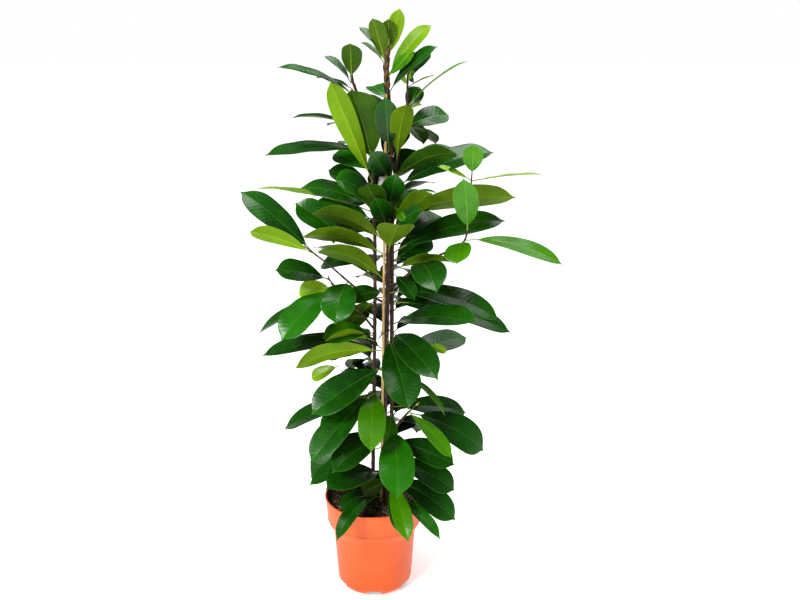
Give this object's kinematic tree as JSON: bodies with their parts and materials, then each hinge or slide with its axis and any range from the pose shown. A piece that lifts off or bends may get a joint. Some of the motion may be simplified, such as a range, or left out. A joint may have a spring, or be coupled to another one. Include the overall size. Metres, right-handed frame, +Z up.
{
  "type": "potted ficus",
  "caption": "Tall African fig with leathery drip-tipped leaves on several stems tied to a bamboo stake, growing in a round collared nursery pot.",
  "frame": {"origin": "on the floor, at the middle of the pot's flat underside", "axes": "+Z up along the stake, +X to the plant's right and -Y to its front"},
  "size_m": [0.6245, 0.3627, 1.1931],
  "materials": {
    "pot_plastic": "injection-moulded terracotta-orange polypropylene, satin",
    "potting_mix": "moist dark peat with bark fibres and perlite",
    "bamboo": "dry tan bamboo cane, slight gloss",
    "bark": "young brown-green bark with leaf scars",
    "tie": "brown plastic-coated tie wire",
    "leaf_mature": "leathery dark green living leaf, glossy above and matte below",
    "leaf_young": "fresh mid-green living leaf, light passing through",
    "leaf_new": "newest lime-green living leaf, thin and soft"
  },
  "bodies": {
    "root": {"pot": "pot_plastic", "potting_soil": "potting_mix", "bamboo_stake": "bamboo", "stem_main": "bark", "stem_left": "bark", "stem_right": "bark", "stem_low": "bark", "plant_tie_1": "tie", "plant_tie_2": "tie", "leaf_01": "leaf_new", "leaf_02": "leaf_young", "leaf_03": "leaf_new", "leaf_04": "leaf_mature", "leaf_05": "leaf_mature", "leaf_06": "leaf_new", "leaf_07": "leaf_mature", "leaf_08": "leaf_young", "leaf_09": "leaf_young", "leaf_10": "leaf_mature", "leaf_11": "leaf_mature", "leaf_12": "leaf_mature", "leaf_13": "leaf_mature", "leaf_14": "leaf_mature", "leaf_15": "leaf_new", "leaf_16": "leaf_young", "leaf_17": "leaf_young", "leaf_18": "leaf_young", "leaf_19": "leaf_mature", "leaf_20": "leaf_mature", "leaf_21": "leaf_mature", "leaf_22": "leaf_mature", "leaf_23": "leaf_new", "leaf_24": "leaf_mature", "leaf_25": "leaf_mature", "leaf_26": "leaf_mature", "leaf_27": "leaf_mature", "leaf_28": "leaf_mature", "leaf_29": "leaf_mature", "leaf_30": "leaf_mature", "leaf_31": "leaf_mature", "leaf_32": "leaf_young", "leaf_33": "leaf_young", "leaf_34": "leaf_new", "leaf_35": "leaf_mature", "leaf_36": "leaf_mature", "leaf_37": "leaf_young", "leaf_38": "leaf_young", "leaf_39": "leaf_mature", "leaf_40": "leaf_mature", "leaf_41": "leaf_young", "leaf_42": "leaf_mature", "leaf_43": "leaf_mature", "leaf_44": "leaf_mature", "leaf_45": "leaf_mature", "leaf_46": "leaf_mature", "leaf_47": "leaf_mature", "leaf_48": "leaf_mature", "leaf_49": "leaf_mature", "leaf_50": "leaf_mature", "leaf_51": "leaf_mature"}
  },
  "joints": []
}
